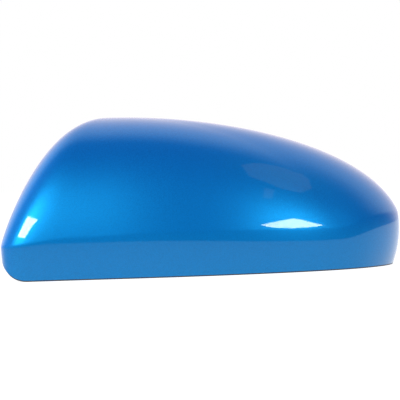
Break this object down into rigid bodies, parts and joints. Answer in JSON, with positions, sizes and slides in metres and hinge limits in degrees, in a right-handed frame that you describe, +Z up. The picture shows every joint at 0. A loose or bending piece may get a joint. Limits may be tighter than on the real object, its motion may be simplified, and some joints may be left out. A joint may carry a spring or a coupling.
{
  "type": "wing mirror cover",
  "caption": "Painted moulded wing mirror cover: domed shell with a creased lower band, a swept tip, an arm opening and snap hooks inside.",
  "frame": {"origin": "centre of the bounding box in plan, in the plane of the rim on which the cover lies", "axes": "+X from the arm end to the swept outer tip, +Y from the long side in view to the far long side, +Z up from the rim to the crown"},
  "size_m": [0.2116, 0.126, 0.0835],
  "materials": {
    "body_paint": "metallic blue paint under clear coat outside, bare black moulding inside"
  },
  "bodies": {
    "root": {"cover": "body_paint"}
  },
  "joints": []
}
